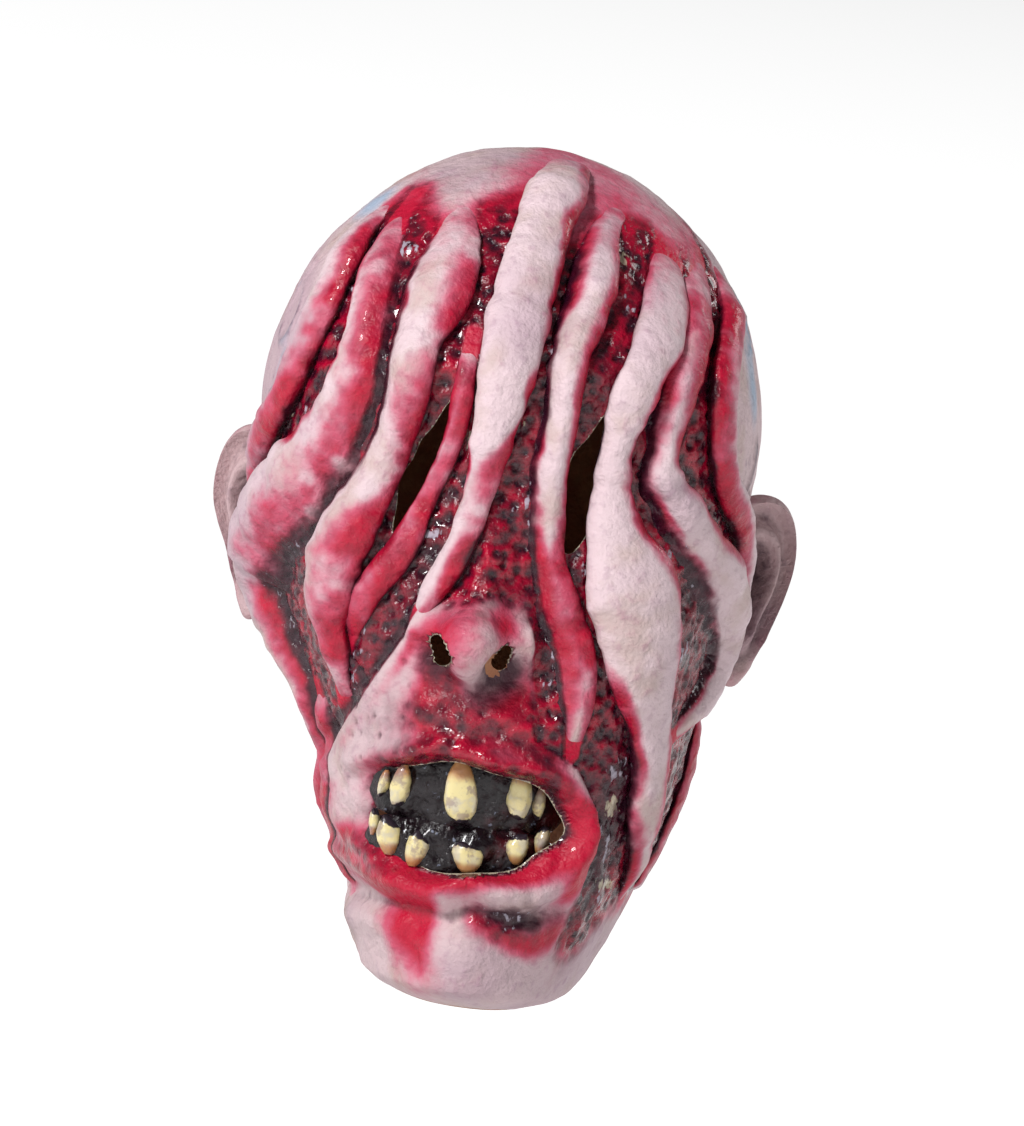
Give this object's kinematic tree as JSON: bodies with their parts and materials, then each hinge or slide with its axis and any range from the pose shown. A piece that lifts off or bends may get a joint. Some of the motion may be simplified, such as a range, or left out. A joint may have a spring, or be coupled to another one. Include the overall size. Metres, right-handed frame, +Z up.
{
  "type": "overhead latex halloween mask",
  "caption": "Overhead latex mask of a melting zombie face: head shell with skin strips running down it, slanted eye slits, ears, open mouth with crooked teeth, and a folding rear slit.",
  "frame": {"origin": "on the wearer's head axis, at the height of the underside of the mask's chin", "axes": "+Z up to the crown, the face looks along -Y, +X towards the wearer's left ear"},
  "size_m": [0.2163, 0.2316, 0.32],
  "materials": {
    "pale_latex": "painted satin latex, mottled, with pores",
    "strip_latex": "painted latex, pale with crimson edges, half gloss",
    "blood_red_latex": "painted latex, dark red, wet gloss",
    "ear_latex": "painted satin latex, mauve grey",
    "gum_latex": "painted latex, near black, gloss",
    "tooth_enamel_paint": "painted cream with brown roots, gloss"
  },
  "bodies": {
    "head_shell": {"face_skin": "pale_latex", "rear_skin": "pale_latex", "ear_left": "ear_latex", "ear_right": "ear_latex", "temple_strip_left": "strip_latex", "cheek_strip_left": "strip_latex", "inner_strip_left": "strip_latex", "eye_strip_left": "blood_red_latex", "jaw_strip_left": "blood_red_latex", "centre_strip": "strip_latex", "nose_strip": "blood_red_latex", "cheek_strip_right": "strip_latex", "outer_strip_right": "strip_latex", "temple_strip_right": "strip_latex", "jaw_strip_right": "strip_latex", "upper_gum": "gum_latex", "lower_gum": "gum_latex", "upper_tooth_1": "tooth_enamel_paint", "upper_tooth_2": "tooth_enamel_paint", "upper_tooth_3": "tooth_enamel_paint", "upper_tooth_4": "tooth_enamel_paint", "upper_tooth_5": "tooth_enamel_paint", "lower_tooth_1": "tooth_enamel_paint", "lower_tooth_2": "tooth_enamel_paint", "lower_tooth_3": "tooth_enamel_paint", "lower_tooth_4": "tooth_enamel_paint", "lower_tooth_5": "tooth_enamel_paint", "lower_tooth_6": "tooth_enamel_paint"},
    "flap_left": {"slit_flap_left": "pale_latex"},
    "flap_right": {"slit_flap_right": "pale_latex"}
  },
  "joints": [
    {"name": "flap_left_fold", "type": "hinge", "parent": "head_shell", "child": "flap_left", "pos_m": [-0.036, 0.0815, 0.112], "axis": [0, 0.3518, 0.9361], "range_deg": [0, 50], "stiffness_Nm_per_rad": 0.03},
    {"name": "flap_right_fold", "type": "hinge", "parent": "head_shell", "child": "flap_right", "pos_m": [0.036, 0.0815, 0.112], "axis": [0, -0.3518, -0.9361], "range_deg": [0, 50], "stiffness_Nm_per_rad": 0.03}
  ]
}
